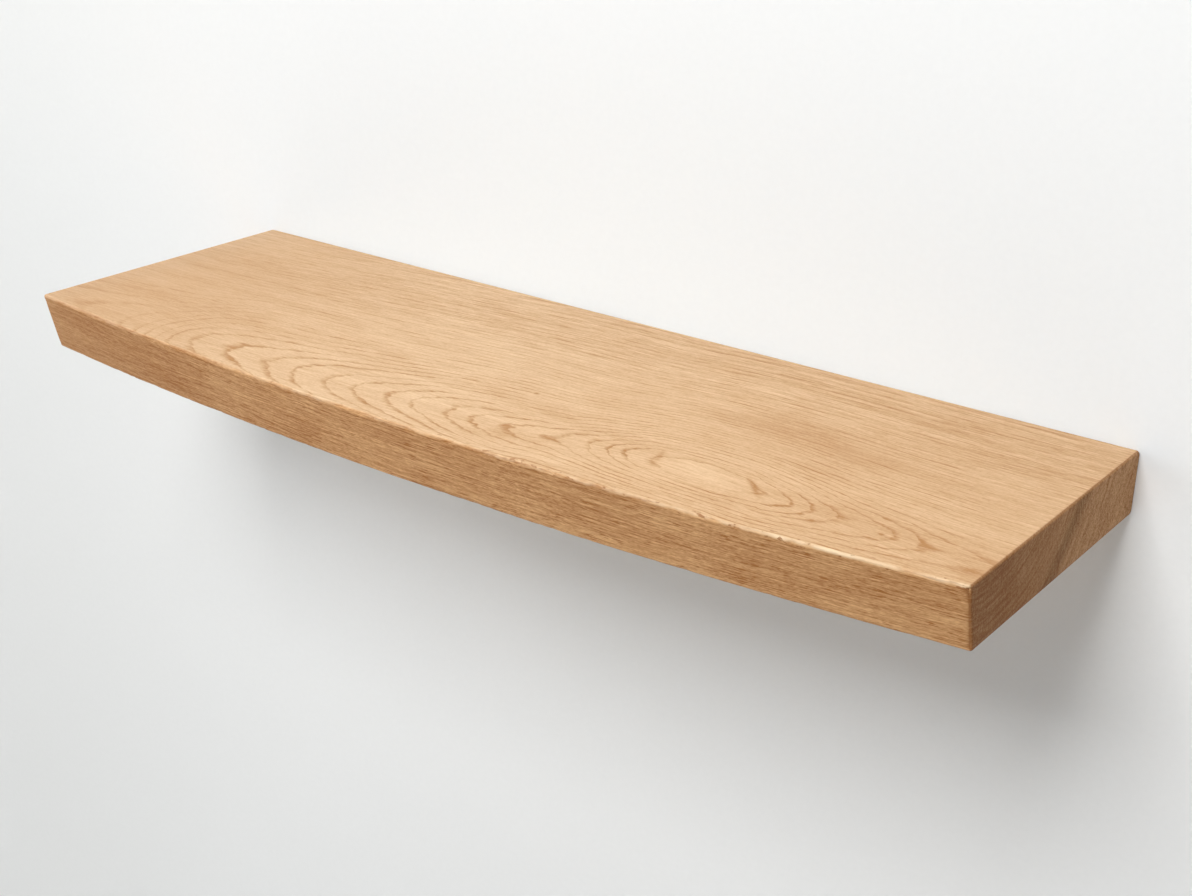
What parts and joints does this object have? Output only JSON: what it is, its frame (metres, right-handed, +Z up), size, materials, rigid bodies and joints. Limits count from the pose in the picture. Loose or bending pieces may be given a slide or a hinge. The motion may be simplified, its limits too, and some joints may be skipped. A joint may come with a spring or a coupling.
{
  "type": "floating wall shelf",
  "caption": "Thick oak wall shelf with a bowed, undercut front, sliding onto hidden steel rods on a bar fixed to the wall.",
  "frame": {"origin": "on the wall plane, at mid-length and mid-thickness of the slab, which is the centre of the bar's back", "axes": "+X along the shelf to its right end seen from the room, +Y into the wall, +Z up; the front faces -Y"},
  "size_m": [0.8, 0.331, 0.046],
  "materials": {
    "oak": "oiled oak",
    "bar_steel": "black powder coat",
    "rod_steel": "bright drawn bar",
    "zinc_steel": "zinc plated",
    "black_steel": "black oxide",
    "nylon": "moulded nylon",
    "brass": "turned brass"
  },
  "bodies": {
    "bracket": {"bracket_bar": "bar_steel", "support_rod_1": "rod_steel", "rod_screw_1": "black_steel", "wall_plug_1": "nylon", "wall_screw_1": "zinc_steel", "support_rod_2": "rod_steel", "rod_screw_2": "black_steel", "wall_plug_2": "nylon", "wall_screw_2": "zinc_steel", "support_rod_3": "rod_steel", "rod_screw_3": "black_steel", "wall_plug_3": "nylon", "wall_screw_3": "zinc_steel", "support_rod_4": "rod_steel", "rod_screw_4": "black_steel", "wall_plug_4": "nylon", "wall_screw_4": "zinc_steel"},
    "shelf": {"shelf_slab": "oak", "insert_nut_left": "brass", "insert_nut_right": "brass"},
    "lock_left": {"lock_screw_left": "black_steel"},
    "lock_right": {"lock_screw_right": "black_steel"}
  },
  "joints": [
    {"name": "shelf_slide", "type": "slide", "parent": "bracket", "child": "shelf", "axis": [0, -1, 0], "range_m": [0, 0.145]},
    {"name": "lock_screw_left_travel", "type": "slide", "parent": "shelf", "child": "lock_left", "axis": [0, 0, -1], "range_m": [0, 0.006]},
    {"name": "lock_screw_right_travel", "type": "slide", "parent": "shelf", "child": "lock_right", "axis": [0, 0, -1], "range_m": [0, 0.006]}
  ]
}
